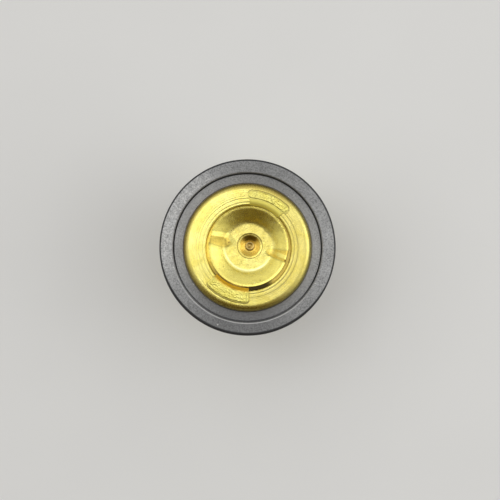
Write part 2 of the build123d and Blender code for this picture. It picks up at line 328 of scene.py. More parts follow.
class Finish(Graph):
    # one material; constants are set on the shader's own sockets
    def __init__(self, name, **constants):
        self.material = bpy.data.materials.new(name)
        self.material.use_nodes = True
        super().__init__(self.material.node_tree)
        self.shader = self.tree.nodes["Principled BSDF"]
        for socket, value in constants.items():
            self.shader.inputs[socket.replace("_", " ")].default_value = value
        self.point = self.node("ShaderNodeTexCoord", output="Object")

    def feed(self, **wires):
        for socket, wire in wires.items():
            self.tree.links.new(wire.socket, self.shader.inputs[socket.replace("_", " ")])

    def noise(self, size, detail, roughness=0.55):
        # cloudy noise from 0 to 1 whose patches are about this size in millimetres
        values = {"Scale": 1 / (size * mm), "Detail": detail, "Roughness": roughness}
        values["Vector"] = self.point
        return self.node("ShaderNodeTexNoise", {"noise_dimensions": "3D"}, values)

    def lines(self, along, size, detail=2.0):
        # noise that changes only along one number in millimetres: concentric or stacked fine lines
        values = {"W": along * (1 / size), "Scale": 1.0, "Detail": detail}
        return self.node("ShaderNodeTexNoise", {"noise_dimensions": "1D"}, values)

    def specks(self, size, share):
        # small round spots: 1 near some of a cell pattern's points, chosen by the cell's colour
        settings = {"feature": "F1", "distance": "EUCLIDEAN"}
        values = {"Scale": 1 / (size * mm), "Vector": self.point}
        near = self.node("ShaderNodeTexVoronoi", settings, values)
        pick = self.axes(Wire(self, near.socket.node.outputs["Color"]))[0]
        return self.step(near, *speckEdge) * self.step(pick, 1 - share, 1 - share + speckPick)

    def around(self, centre):
        # distance from an upright axis, angle about it in radians, and height, in millimetres
        values = {0: self.point, 1: (1 / mm,) * 3, 2: (-centre[0], -centre[1], 0)}
        moved = self.node("ShaderNodeVectorMath", {"operation": "MULTIPLY_ADD"}, values)
        x, y, z = self.axes(moved)
        return (x * x + y * y).root(), x.maths("ARCTAN2", y, x), z

    def attribute(self, name):
        return self.node("ShaderNodeAttribute", {"attribute_name": name}, output="Fac")

    def bump(self, height, depth, normal=None):
        values = {"Height": height, "Distance": depth * mm}
        if normal:
            values["Normal"] = normal
        return self.node("ShaderNodeBump", None, values)


class Patched(Finish):
    # A finish whose colour is built up by the patches in its look. A patch is a colour, a share
    # and ramps, and it lies where the product of its ramps does. A ramp is a measure, its start,
    # where it is full and at times a floor below its start. A measure given with a number is the
    # distance from that number, and one given alone is taken as it stands.
    def __init__(self, name, look, centre, **constants):
        super().__init__(name, Roughness=look["roughness"], **constants)
        self.look = look
        self.radius, self.turn, height = self.around(centre)
        self.measures = {"radius": self.radius, "height": height}
        self.addSides(self.turn, look.get("sides", {}))

    def addSides(self, turn, sides):
        # nearness to a side = the cosine of the angle away from it; a side's angle is counted
        # from the camera's right
        for name, side in sides.items():
            away = turn - math.radians(side + viewTurn)
            self.measures[name] = away.maths("COSINE", away)

    def ramp(self, measure, start=None, full=None, floor=0.0):
        name, middle = measure if isinstance(measure, tuple) else (measure, None)
        value = self.measures[name]
        if middle is not None:
            value = abs(value - middle)
        if start is not None:
            value = self.step(value, start, full)
        return value * (1 - floor) + floor if floor else value

    def mask(self, ramps, share=1.0):
        for ramp in ramps:
            share = self.ramp(*ramp) * share
        return share

    def tint(self, factor, colour):
        self.colour = self.mix(factor, self.colour, colour)

    def addPatches(self):
        for colour, share, ramps in self.look["patches"]:
            self.tint(self.mask(ramps, share), self.look[colour])


# Brass. Noises are size, detail and roughness
brassBase = {
    # grime is real dirt in the dish's specks and also painted shade in the ring's turned lines and
    # round the pads; glow is a painted warm reflection on the ring's lip
    "tan": (0.54, 0.41, 0.10, 1), "grimeAndShade": (0.20, 0.15, 0.04, 1), "orange": (0.85, 0.52, 0.07, 1),
    "olive": (0.45, 0.40, 0.10, 1), "rust": (0.16, 0.04, 0.02, 1), "black": (0.05, 0.035, 0.012, 1),
    "glow": (0.93, 0.70, 0.13, 1), "flank": (0.76, 0.56, 0.10, 1), "cone": (0.93, 0.80, 0.19, 1),
    "pale": (0.99, 0.94, 0.42, 1), "dust": (0.8, 0.78, 0.6, 1), "stud": (0.34, 0.27, 0.09, 1),
    "stainNoise": (2.6, 5, 0.65), "stainRamp": (0.54, 0.74),
    "mottleNoise": (0.5, 3, 0.6), "mottleRamp": (0.5, 0.75),
    "cloudRamp": (0.3, 0.7), "roughCloud": 0.12, "dimpleNoise": (1.6, 2),
}


class Brass(Patched):
    # colour = light brass toward deep brass by cloudy noise, then toward tan where stained and
    # where mottled, then the patches; roughness = base + cloud + grain; the bump stacks fine
    # grain and a slow dimpling of the sheet
    def __init__(self, name, look, centre):
        super().__init__(name, look, centre, Metallic=1.0)
        cloud = self.noise(look["cloud"], 4)
        grain = self.noise(look["grain"], 3, 0.7)
        stain = self.step(self.noise(*look["stainNoise"]), *look["stainRamp"]) * look["stain"]
        mottle = self.step(self.noise(*look["mottleNoise"]), *look["mottleRamp"]) * look["mottle"]
        colour = self.mix(self.step(cloud, *look["cloudRamp"]), look["light"], look["deep"])
        colour = self.mix(stain, colour, look["tan"])
        self.colour = self.mix(mottle, colour, look["tan"])
        rough = (grain - 0.5) * look["roughGrain"] + (cloud - 0.5) * look["roughCloud"]
        self.rough = look["roughness"] + rough
        self.normal = self.bump(grain, look["grainDepth"])
        self.normal = self.bump(self.noise(*look["dimpleNoise"]), look["dimple"], self.normal)

    def done(self):
        self.feed(Base_Color=self.colour, Roughness=self.rough, Normal=self.normal)
        return self.material


# The coined pads at the ends of the cage's tabs
pads = [
    {"middle": 90.0, "inner": 14.45, "outer": 17.2, "span": 49.0, "corner": 1.3},
    {"middle": -90.0, "inner": 11.8, "outer": 17.2, "span": 49.0, "corner": 0.9},
]


def padEdge(finish):
    # distance to the nearer pad's outline, below 0 on the pad: a rounded box whose sides run
    # along and across the arc
    radius, turn, _ = finish.around(valveAxis)
    nearest = None
    for pad in pads:
        middle = 0.5 * (pad["inner"] + pad["outer"])
        halfWide = 0.5 * (pad["outer"] - pad["inner"])
        halfLong = 0.5 * math.radians(pad["span"]) * middle
        across = abs(radius - middle) - (halfWide - pad["corner"])
        along = abs(turn - math.radians(pad["middle"])) * middle - (halfLong - pad["corner"])
        outAcross, outAlong = across.larger(0), along.larger(0)
        outside = (outAcross * outAcross + outAlong * outAlong).root()
        edge = outside + across.larger(along).smaller(0) - pad["corner"]
        nearest = nearest.smaller(edge) if nearest else edge
    return nearest


onFlat = ("height", 45.6, 45.9)
onTooled = [onFlat, (("radius", 15.0), 2.7, 1.9)]
onLip = [("height", 45.1, 44.5), ("radius", 13.4, 13.1)]
ringLook = {
    **brassBase, "light": (0.90, 0.81, 0.26, 1), "deep": (0.85, 0.73, 0.17, 1),
    "roughness": 0.26, "roughGrain": 0.3, "cloud": 3.2, "grain": 0.22, "grainDepth": 0.05,
    "stain": 0.2, "mottle": 0.4, "lineSize": 0.22, "lineDepth": 0.04, "dimple": 0.03,
    # the first three sides steer painted shade on the flat and the shoulder, and the lip's sides steer
    # its painted reflection and shade
    "sides": {
        "flatShadeSide": 345.0, "clear": 25.0, "shoulderShadeSide": 78.0,
        "lipTop": 92.0, "lipLit": 178.0, "lipLow": 222.0, "lipDark": 283.0,
    },
    "patches": [
        ("tan", 0.4, [*onTooled, ("toolLines", 0.60, 0.8)]),
        # painted shade: the flat goes tan toward its shaded side
        ("tan", 0.34, [onFlat, ("flatShadeSide", 0.1, 0.95)]),
        # painted shade in the two deepest turned lines, stronger toward the flat's shaded side
        *[("grimeAndShade", 0.55, [onFlat, (("radius", line), 0.22, 0.08), ("flatShadeSide", 0.4, 0.95, 0.273)])
          for line in (13.95, 15.1)],
        # painted shade on the shoulder: tan away from the clear side, and more toward a shaded side
        ("tan", 0.97, [("outer", 18.4, 19.4), ("clear", 0.85, -0.3, 0.361)]),
        ("tan", 0.6, [("outer", 17.2, 18.8), ("clear", 0.85, -0.3)]),
        ("tan", 0.85, [("outer", 17.2, 18.6), ("shoulderShadeSide", 0.72, 0.98)]),
        # the lip's wall in painted reflection and shade by side: an orange glow all round, tan away
        # from the lit side, light on the top side, black on the low and dark sides
        ("glow", 1.0, onLip),
        ("tan", 1.0, [*onLip, ("lipLit", 0.92, 0.75)]),
        ("light", 1.0, [*onLip, ("lipTop", 0.45, 0.85)]),
        ("black", 0.5, [*onLip, ("lipLow", 0.85, 0.97)]),
        ("black", 1.0, [*onLip, ("lipDark", 0.89, 0.98)]),
        # rust where the wall meets the seal, and painted shade round the pads, heavier on their outer
        # side
        ("rust", 1.0, [("height", 44.0, 43.4), ("radius", 19.0, 19.4)]),
        ("grimeAndShade", 0.85, [("pads", 0.3, 0.12), ("padRadius", 16.0, 17.0, 0.235)]),
    ],
}


def ringFinish(name, look):
    # brass cut by tool lines on the middle of the flat; tan lies in them, and as painted shade on the
    # flat's shaded side and on the shoulder; painted shade lies in the turned lines and round the pads,
    # and rust at the seal; the lip's
    # wall has a painted reflection: it glows, with tan, black and light stretches by side
    brass = Brass(name, look, lipSlip)
    toolLines = brass.lines(brass.radius, look["lineSize"], 3)
    brass.measures.update(
        toolLines=toolLines, pads=padEdge(brass),
        outer=brass.around((0.0, 0.0))[0], padRadius=brass.around(valveAxis)[0],
    )
    cut = toolLines * brass.mask(onTooled)
    brass.normal = brass.bump(cut, look["lineDepth"], brass.normal)
    brass.addPatches()
    return brass.done()


onPadTop = ("height", 46.2, 46.6)
# the +Y tab's neck: painted light lifts its colour, and its roughness is raised
onLightenedNeck = [("height", 44.0, 45.0), ("side", 0.0, 2.0), ("radius", 14.6, 14.2)]
cageLook = {
    **brassBase, "light": (0.95, 0.87, 0.24, 1), "deep": (0.90, 0.78, 0.16, 1),
    "roughness": 0.32, "roughGrain": 0.2, "cloud": 3.0, "grain": 0.2, "grainDepth": 0.01,
    "stain": 0.2, "mottle": 0.1, "dimple": 0.05,
    "stipple": 0.42, "stippleDepth": 0.36, "stippled": [onPadTop, ("pads", -0.2, -0.5)],
    "neckRough": 0.4,
    "patches": [
        # painted warm reflection in the fold of the -Y tab
        ("orange", 0.85, [("height", 43.0, 43.6), ("radius", 14.1, 13.5), ("side", 2.0, -2.0)]),
        # painted light on the +Y tab's neck
        ("light", 1.0, onLightenedNeck),
        # painted shade round the pads' outline, heavier on their outer side
        ("grimeAndShade", 0.9, [onPadTop, (("pads", 0.0), 0.2, 0.1), ("radius", 16.0, 17.0, 0.333)]),
    ],
}


def cageFinish(name, look):
    # brass whose pads are stippled and outlined by painted shade; the fold of one tab is orange as a
    # painted reflection, and the other's is lightened by painted light and made rough; side is the
    # distance along +Y
    brass = Brass(name, look, valveAxis)
    brass.measures.update(pads=padEdge(brass), side=brass.axes(brass.point)[1] * (1 / mm))
    stipple = brass.noise(look["stipple"], 1) * brass.mask(look["stippled"])
    brass.normal = brass.bump(stipple, look["stippleDepth"], brass.normal)
    brass.rough = brass.rough + brass.mask(onLightenedNeck) * look["neckRough"]
    brass.addPatches()
    return brass.done()


dishLook = {
    **brassBase, "light": (0.90, 0.80, 0.25, 1), "deep": (0.85, 0.72, 0.17, 1),
    "roughness": 0.28, "roughGrain": 0.45, "cloud": 2.4, "grain": 0.25, "grainDepth": 0.05,
    "stain": 0.3, "mottle": 0.2, "dimple": 0.07,
    "dentNoise": (4.5, 2), "dentDepth": 0.16, "blotchNoise": (1.7, 5, 0.7),
    "wallLines": 0.35, "wallDepth": 0.09, "onWall": [("inner", 4.0, 3.6)],
    "speckSize": 1.1, "speckShare": 0.16,
    "dustSize": 0.9, "dustShare": 0.07, "onDusty": [("radius", 8.5, 10.0)],
    "pits": [(6.23, 167.3, 0.24), (11.95, 339.0, 0.25)],  # distance out, side and radius
    "pitShare": 0.85, "pitCore": 0.6,
    "sides": {"upper": 88.0, "highlightSide": 255.0},
    "thimbleSides": {"thimbleUpper": 88.0, "thimbleLow": 248.0},
    "patches": [
        # the cone and the floor
        ("cone", 0.8, [("radius", 7.4, 9.0)]),
        # painted shade: the floor goes tan toward its upper side
        ("tan", 0.25, [("radius", 7.8, 6.8), ("upper", -0.2, 0.8)]),
        ("tan", 0.3, [("blotches", 0.50, 0.70), ("radius", 7.6, 8.8)]),
        # painted shade on the ribs' flanks, from the tones
        ("flank", 1.0, [("ribFlank",)]),
        # painted shade: thin olive lines in the creases at the ribs' feet
        ("olive", 0.6, [("ribFoot",)]),
        # painted highlight: the floor's edge goes pale on one side
        ("pale", 1.0, [(("radius", 7.35), 0.45, 0.15), ("highlightSide", 0.2, 0.8)]),
        # the thimble
        ("orange", 0.68, [("height", 41.8, 41.2)]),
        # painted shade and reflection in the thimble: tan for the brown reflection on its low side,
        # black for the shade on its upper side
        ("tan", 0.42, [(("inner", 2.6), 1.2, 0.7), ("thimbleLow", 0.72, 0.97)]),
        ("black", 0.75, [(("inner", 2.6), 0.9, 0.5), ("thimbleUpper", 0.45, 0.9)]),
        ("grimeAndShade", 0.7, [(("inner", 3.83), 0.16, 0.06)]),
        ("grimeAndShade", 1.0, [("specks",)]),
    ],
}


def dishFinish(name, look):
    # brass with a deeper cone, blotched with tan, and painted shade toward the floor's upper side; the
    # mesh's ribFlank attribute deepens the ribs' flanks as painted shade, and ribFoot draws thin olive
    # lines of painted shade along their feet; the floor's edge has a painted pale highlight on one
    # side; the thimble grows orange with depth, with painted shade above in black and a painted brown
    # reflection below in tan; grime lies in specks and pits; the bump adds turned lines in the thimble
    # and slow dents; pale dust, which isn't metal, lies near the rim
    brass = Brass(name, look, dishAxis)
    inner, innerTurn, _ = brass.around(dishAxis + thimbleSlip)
    brass.addSides(innerTurn, look["thimbleSides"])
    brass.measures.update(
        inner=inner, blotches=brass.noise(*look["blotchNoise"]),
        specks=brass.specks(look["speckSize"], look["speckShare"]),
        ribFlank=brass.attribute("ribFlank"), ribFoot=brass.attribute("ribFoot"),
    )
    brass.addPatches()
    for out, side, size in look["pits"]:
        spot = dishAxis + atAngle(out, side + viewTurn)
        pit = brass.step(brass.around(spot)[0], size, size * look["pitCore"])
        brass.tint(pit * look["pitShare"], look["rust"])
    wall = brass.lines(inner, look["wallLines"]) * brass.mask(look["onWall"])
    brass.normal = brass.bump(wall, look["wallDepth"], brass.normal)
    dents = brass.noise(*look["dentNoise"])
    brass.normal = brass.bump(dents, look["dentDepth"], brass.normal)
    dust = brass.specks(look["dustSize"], look["dustShare"]) * brass.mask(look["onDusty"])
    brass.tint(dust, look["dust"])
    brass.feed(Metallic=1 - dust)
    return brass.done()


cupLook = {
    **brassBase, "light": (0.84, 0.62, 0.22, 1), "deep": (0.74, 0.48, 0.13, 1),
    "roughness": 0.28, "roughGrain": 0.2, "cloud": 1.6, "grain": 0.2, "grainDepth": 0.006,
    "stain": 0.4, "mottle": 0.2, "lineSize": 0.18, "lineDepth": 0.012, "dimple": 0.02,
    "patches": [("stud", 0.55, [("height", 39.2, 40.0)])],
}


def cupFinish(name, look):
    # brass with tool lines everywhere, and a dull head on the riveted stud
    brass = Brass(name, look, valveAxis)
    brass.addPatches()
    toolLines = brass.lines(brass.radius, look["lineSize"], 3)
    brass.normal = brass.bump(toolLines, look["lineDepth"], brass.normal)
    return brass.done()


# Rubber
rubberLook = {
    "black": (0.016, 0.016, 0.017, 1), "grey": (0.195, 0.197, 0.199, 1),
    "sheenGrey": (0.56, 0.565, 0.565, 1), "scuffAndHighlight": (0.70, 0.70, 0.69, 1),
    "dust": (0.7, 0.7, 0.67, 1), "roughness": 0.5,
    "grainNoise": (0.22, 3), "cloudNoise": (5.0, 5, 0.6), "mottleNoise": (1.1, 5, 0.7),
    "fleckNoise": (0.42, 4, 0.8), "speckSize": 1.3, "speckShare": 0.06,
    "sides": {"near": 114.0, "scuffSide": 157.0, "low": 262.0},
    # a painted sheen lightens the grey: its side and the shares of its terms
    "sheenSide": 172.0, "sheenBase": 0.484, "sheenTwice": 0.375, "sheenOnce": 0.17,
    "scuffs": [("mottle", 0.36, 0.62), ("scuffSide", 0.72, 0.86), (("radius", 24.9), 1.9, 1.5)],
    "onLow": [("low", 0.2, 0.9)], "edgeShift": 0.4,
    "roughCloud": 0.16, "roughScuff": 0.12,
    "lineSize": 0.35, "lineDepth": 0.008, "grainMottle": 0.6, "grainDepth": 0.07,
    "patches": [
        ("grey", 0.25, [("cloud", 0.3, 0.7)]),
        ("scuffAndHighlight", 0.75, [("scuffs",)]),
        ("black", 0.62, [("flecks", 0.40, 0.66)]),
        # a painted highlight as a pale line outside the step on the low side, specks of dust, then
        # painted shade in the step's crease, lighter on the low side, and the black outer edge
        ("scuffAndHighlight", 0.5, [(("radius", 23.2), 0.2, 0.1), ("low", 0.2, 0.9)]),
        ("dust", 1.0, [("specks",)]),
        ("black", 1.0, [(("radius", 22.62), 0.26, 0.16), ("low", 0.9, 0.2, 0.5)]),
        ("black", 1.0, [("edge", 26.3, 26.6)]),
    ],
}


def rubberFinish(name, look):
    # colour = grey toward a paler grey by a painted sheen, then the patches. The painted sheen goes
    # round as base + twice * cos(2 * angle from its side) + once * cos(angle from the near side).
    # Roughness = base + cloud - scuffs. The bump stacks faint rings and grain with mottle. The
    # edge's measure is the radius, moved outward on the low side, so the black edge, the rubber's own
    # colour, is wider there as painted shade.
    rubber = Patched(name, look, (0.0, 0.0), Specular_IOR_Level=0.5)
    cloud = rubber.noise(*look["cloudNoise"])
    mottle = rubber.noise(*look["mottleNoise"])
    rubber.measures.update(
        cloud=cloud, mottle=mottle, flecks=rubber.noise(*look["fleckNoise"]),
        specks=rubber.specks(look["speckSize"], look["speckShare"]),
        edge=rubber.radius + rubber.mask(look["onLow"], look["edgeShift"]),
    )
    scuffs = rubber.mask(look["scuffs"])
    rubber.measures["scuffs"] = scuffs
    around = rubber.turn - math.radians(look["sheenSide"] + viewTurn)
    twice = around.maths("COSINE", around * 2) * look["sheenTwice"]
    paintedSheen = twice + rubber.measures["near"] * look["sheenOnce"] + look["sheenBase"]
    # painted sheen: the seal's grey is lighter on some sides than on others
    rubber.colour = rubber.mix(paintedSheen, look["grey"], look["sheenGrey"])
    rubber.addPatches()
    rough = look["roughness"] + (cloud - 0.5) * look["roughCloud"] - scuffs * look["roughScuff"]
    normal = rubber.bump(rubber.lines(rubber.radius, look["lineSize"]), look["lineDepth"])
    grain = rubber.noise(*look["grainNoise"]) + mottle * look["grainMottle"]
    normal = rubber.bump(grain, look["grainDepth"], normal)
    rubber.feed(Base_Color=rubber.colour, Roughness=rough, Normal=normal)
    return rubber.material


# Steel, and the plain materials inside the capsule
steelBase = {
    "cloudNoise": (2.5, 4), "roughCloud": 0.2, "lineSize": 0.12,
    "grainNoise": (0.15, 2), "grainDepth": 0.004,
}
steelLook = {
    **steelBase, "light": (0.62, 0.61, 0.59, 1), "deep": (0.48, 0.47, 0.46, 1),
    "roughness": 0.26, "lineDepth": 0.004,
}
springLook = {
    **steelBase, "light": (0.56, 0.55, 0.53, 1), "deep": (0.40, 0.39, 0.38, 1),
    "roughness": 0.33, "lineDepth": 0.0,
}
plainDetail, plainRough, plainDepth = 4, 0.15, 0.03
plainLooks = {
    # light, deep, roughness, size of the cloud
    "innerRubber": ((0.03, 0.03, 0.03, 1), (0.05, 0.05, 0.05, 1), 0.6, 1.0),
    "slipPlastic": ((0.8, 0.8, 0.76, 1), (0.7, 0.7, 0.66, 1), 0.4, 0.8),
    "copperWax": ((0.55, 0.33, 0.16, 1), (0.42, 0.22, 0.1, 1), 0.6, 0.7),
}


def steelFinish(name, look):
    # colour = light toward deep by cloudy noise, which also stirs the roughness; the bump stacks
    # fine lines up the height and grain
    finish = Finish(name, Metallic=1.0, Roughness=look["roughness"])
    height = finish.around(valveAxis)[2]
    cloud = finish.noise(*look["cloudNoise"])
    normal = finish.bump(finish.lines(height, look["lineSize"]), look["lineDepth"])
    finish.feed(
        Base_Color=finish.mix(cloud, look["light"], look["deep"]),
        Roughness=look["roughness"] + (cloud - 0.5) * look["roughCloud"],
        Normal=finish.bump(finish.noise(*look["grainNoise"]), look["grainDepth"], normal),
    )
    return finish.material


def plainFinish(name):
    # colour = light toward deep by cloudy noise; roughness and the shallow bump = the same noise
    light, deep, roughness, size = plainLooks[name]
    finish = Finish(name, Roughness=roughness)
    cloud = finish.noise(size, plainDetail)
    finish.feed(
        Base_Color=finish.mix(cloud, light, deep),
        Roughness=roughness + (cloud - 0.5) * plainRough,
        Normal=finish.bump(cloud, plainDepth),
    )
    return finish.material


finishes = {
    "ring": ringFinish("turnedBrass", ringLook),
    "dish": dishFinish("pressedBrass", dishLook),
    "cage": cageFinish("cageBrass", cageLook),
    "cup": cupFinish("capsuleBrass", cupLook),
    "rubber": rubberFinish("sealRubber", rubberLook),
    "steel": steelFinish("groundSteel", steelLook),
    "spring": steelFinish("springSteel", springLook),
    "innerRubber": plainFinish("innerRubber"),
    "plastic": plainFinish("slipPlastic"),
    "wax": plainFinish("copperWax"),
}
# these pieces keep the frame's own mesh
framePieces = {
    "wax_charge": "wax", "diaphragm": "innerRubber", "rubber_plug": "innerRubber",
    "slip_disc": "plastic", "cage": "cage",
}
for node, kind in framePieces.items():
    paint(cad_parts[node], finishes[kind])
print("made the finishes")


cameraSetup = {
    "frameWidth": 152.7, "planeZ": 44.4, "distance": 330.0, "right": 0.76, "down": 0.76,
    "sensor": 36.0, "nearest": 10.0,
}
lightSetup = [
    # name, right, up, height above the floor, width, watts
    ("keyLight", -150.0, 110.0, 520.0, 240.0, 0.30),
    ("sideLight", 330.0, 40.0, 300.0, 240.0, 0.20),
]
floorLook = {
    "half": 3000.0, "roughness": 0.9, "noise": (60.0, 2),
    "dark": (0.76, 0.76, 0.75, 1), "light": (0.80, 0.80, 0.79, 1),
}
# reaches are where an effect starts and is full: across, as the cosine of the angle from its
# side, and up, as the sine of the height above the horizon
domeLook = {
    "strength": 1.0, "white": (1.0, 1.0, 1.0, 1), "backdrop": (0.9, 0.9, 0.9, 1),
    "leastLevel": 0.001,  # keeps the division sound straight overhead
    "horizon": 0.18, "horizonUp": (-0.02, 0.52),
    "shade": (0.13, 0.095, 0.034, 1), "shadeSide": 262.0,
    "shadeAcross": (0.20, 0.95), "shadeUp": (0.998, 0.955),
    "dip": 0.14, "dipSide": 85.0, "dipAcross": (0.45, 0.95), "dipUp": (0.96, 0.7),
}


def makeCamera():
    data = bpy.data.cameras.new("camera")
    camera = addObject("camera", data)
    x, y = fromView(cameraSetup["right"], -cameraSetup["down"])
    camera.location = (x * mm, y * mm, (cameraSetup["planeZ"] + cameraSetup["distance"]) * mm)
    camera.rotation_euler = (0, 0, math.radians(viewTurn))
    data.sensor_width = cameraSetup["sensor"]
    data.lens = data.sensor_width * cameraSetup["distance"] / cameraSetup["frameWidth"]
    data.clip_start = cameraSetup["nearest"] * mm
    bpy.context.scene.camera = camera


def makeLights():
    for name, right, up, height, width, watts in lightSetup:
        data = bpy.data.lights.new(name, "AREA")
        data.size = width * mm
        data.energy = watts
        lamp = addObject(name, data)
        lamp.visible_camera = False
        x, y = fromView(right, up)
        lamp.location = (x * mm, y * mm, height * mm)
        aim = Vector((0, 0, cameraSetup["planeZ"] * mm)) - lamp.location
        lamp.rotation_euler = aim.to_track_quat("-Z", "Y").to_euler()


def makeFloor():
    mesh = bpy.data.meshes.new("floor")
    half = floorLook["half"] * mm
    corners = [(-half, -half, 0), (half, -half, 0), (half, half, 0), (-half, half, 0)]
    mesh.from_pydata(corners, [], [(0, 1, 2, 3)])
    floor = addObject("floor", mesh)
    finish = Finish("floorPaint", Roughness=floorLook["roughness"])
    cloud = finish.noise(*floorLook["noise"])
    finish.feed(Base_Color=finish.mix(cloud, floorLook["dark"], floorLook["light"]))
    paint(floor, finish.material)


def makeWorld():
    # a soft white dome, dimmer toward the horizon, with one warm shaded side and a slight dip
    # opposite; brightness = height factor * (1 - dip) * strength, and the shaded side's colour
    # takes over from 86 down to 73 degrees of height; the camera itself sees a plain backdrop
    world = bpy.data.worlds.new("studio")
    bpy.context.scene.world = world
    world.use_nodes = True
    look = domeLook
    sky = Graph(world.node_tree)
    x, y, z = sky.axes(sky.node("ShaderNodeTexCoord", output="Generated"))
    level = (x * x + y * y).root().larger(look["leastLevel"])

    def toward(side):
        turn = math.radians(side + viewTurn)
        return (x * math.cos(turn) + y * math.sin(turn)) / level

    shade = sky.step(toward(look["shadeSide"]), *look["shadeAcross"])
    shade = shade * sky.step(z, *look["shadeUp"])
    dip = sky.step(toward(look["dipSide"]), *look["dipAcross"])
    dip = dip * sky.step(z, *look["dipUp"]) * look["dip"]
    height = look["horizon"] + sky.step(z, *look["horizonUp"]) * (1 - look["horizon"])
    glow = height * (1 - dip) * look["strength"]
    colour = sky.mix(shade, look["white"], look["shade"])
    soft = sky.tree.nodes["Background"]
    sky.tree.links.new(colour.socket, soft.inputs["Color"])
    sky.tree.links.new(glow.socket, soft.inputs["Strength"])
    backdrop = sky.node("ShaderNodeBackground", None, {"Color": look["backdrop"]})
    path = sky.node("ShaderNodeLightPath", output="Is Camera Ray")
    shaders = {0: path, 1: Wire(sky, soft.outputs[0]), 2: backdrop}
    mixer = sky.node("ShaderNodeMixShader", None, shaders)
    sky.tree.links.new(mixer.socket, sky.tree.nodes["World Output"].inputs["Surface"])


makeCamera()
makeLights()
makeFloor()
makeWorld()
bpy.context.scene.view_settings.view_transform = "Standard"
print("set the camera, the floor and the lights")


sealSize = {
    "middleZ": 40.6, "radius": 27.0, "half": 3.8, "lipHalf": 2.7, "bandInner": 22.9,
    "rimRadius": 24.4, "rimHalf": 0.4, "above": 19.7, "below": 18.8,
    "stepLean": 0.16,  # the step between lip and band slopes by this much each way
    "creaseWidth": 0.34, "creaseDepth": 0.22,  # groove moulded at the foot of the step
    "edge": 0.75, "fluteHalf": 0.8, "fluteDepth": 0.5, "fluteBend": 0.4, "seam": 0.07,
    "lipBend": 0.22, "creaseBend": 0.08, "creaseRoot": 0.06, "stepFoot": 0.05, "stepHead": 0.16,
    "fluteEdge": 0.12, "pocketEdge": 0.1,
    "gap": 0.24, "columns": 360, "arcStep": 12, "sharp": 50,
}


def makeRubberSeal():
    # closed section: a flat band and a lower lip on both faces, a fluted outside with a thin
    # mould seam, and the pocket for the brass rim, all carried round the axis
    s = sealSize
    foot, head = s["bandInner"] - s["stepLean"], s["bandInner"] + s["stepLean"]
    crease = foot - s["creaseWidth"]
    face = [
        (s["above"], s["lipHalf"], s["lipBend"]),
        (crease, s["lipHalf"], s["creaseBend"]),
        ((crease + foot) / 2, s["lipHalf"] - s["creaseDepth"], s["creaseRoot"]),
        (foot, s["lipHalf"], s["stepFoot"]),
        (head, s["half"], s["stepHead"]),
        (s["radius"], s["half"], s["edge"]),
        (s["radius"], s["fluteHalf"], s["fluteEdge"]),
        (s["radius"] - s["fluteDepth"], s["seam"] * 2, s["fluteBend"]),
        (s["radius"] - s["fluteDepth"] + s["seam"], 0),
    ]
    below = [(r, -z, *bend) for r, z, *bend in face[::-1]][1:]
    below[-1] = (s["below"], -s["lipHalf"], s["lipBend"])
    pocket = [
        (s["below"], -s["rimHalf"]), (s["rimRadius"], -s["rimHalf"]),
        (s["rimRadius"], s["rimHalf"]), (s["above"], s["rimHalf"], s["pocketEdge"]),
    ]
    line = bentLine(face + below + pocket, s["arcStep"])
    section = spaced(line, s["gap"]) + (0, s["middleZ"])
    seal = turned("rubberSeal", section, s["columns"])
    smoothed(seal, s["sharp"])
    place(seal, "frame", "rubber_seal", finishes["rubber"])


makeRubberSeal()


ringSize = {
    "sheet": 0.8, "edge": 0.12, "gap": 0.3, "fineGap": 0.055, "columns": 300,
    "path": [(24.4, 41.0), (19.6, 41.0, 0.2), (19.6, 46.0, 2.1), (13.0, 46.0, 0.5),
             (13.0, 44.0, 0.2), (11.1, 44.0)],
    # turned lines on the flat top: radius, half width, depth
    "grooves": [(14.0, 0.14, 0.06), (15.1, 0.12, 0.045), (15.7, 0.12, 0.014),
                (16.2, 0.08, 0.012), (16.7, 0.12, 0.014), (17.25, 0.10, 0.012)],
    "flatFrom": 45.9, "seatOpening": 11.8, "openingHeights": (40.0, 48.0),
    "slots": [(90.0, 43.86), (270.0, 49.86)],  # middle and span of each slot for a tab
    "slotBox": (12.5, 14.3, 42.0, 47.0),  # inner and outer radius, lowest and highest
    "slipFrom": (17.2, 15.4),  # radii where the lip's slip starts and is full
    "sharp": 40,
}


def makeFlangeRing():
    # pressed section carried round the axis; each turned line lowers the flat by
    # depth * exp(-(distance / half width) squared), and the lip inside them stands off centre
    s = ringSize
    line = sheetSection(s["path"], s["sheet"], s["edge"])
    middleZ = (line[:, 1] + np.roll(line[:, 1], -1)) / 2
    gaps = np.where(middleZ > s["flatFrom"], s["fineGap"], s["gap"])
    section = spaced(line, gaps)
    flat = section[:, 1] > s["flatFrom"]
    for radius, half, depth in s["grooves"]:
        section[flat, 1] -= depth * np.exp(-(((section[flat, 0] - radius) / half) ** 2))
    ring = turned("flangeRing", section, s["columns"])

    def slipLip(points):
        share = eased(np.hypot(points[:, 0], points[:, 1]), *s["slipFrom"])
        points[:, :2] += share[:, None] * lipSlip
        return points

    reshaped(ring, slipLip)
    carve(ring, roundBlock("opening", s["seatOpening"], *s["openingHeights"], valveAxis))
    for middle, span in s["slots"]:
        carve(ring, sectorBlock("slot", *s["slotBox"], middle, span, valveAxis))
    smoothed(ring, s["sharp"])
    place(ring, "frame", "flange_ring", finishes["ring"])


makeFlangeRing()


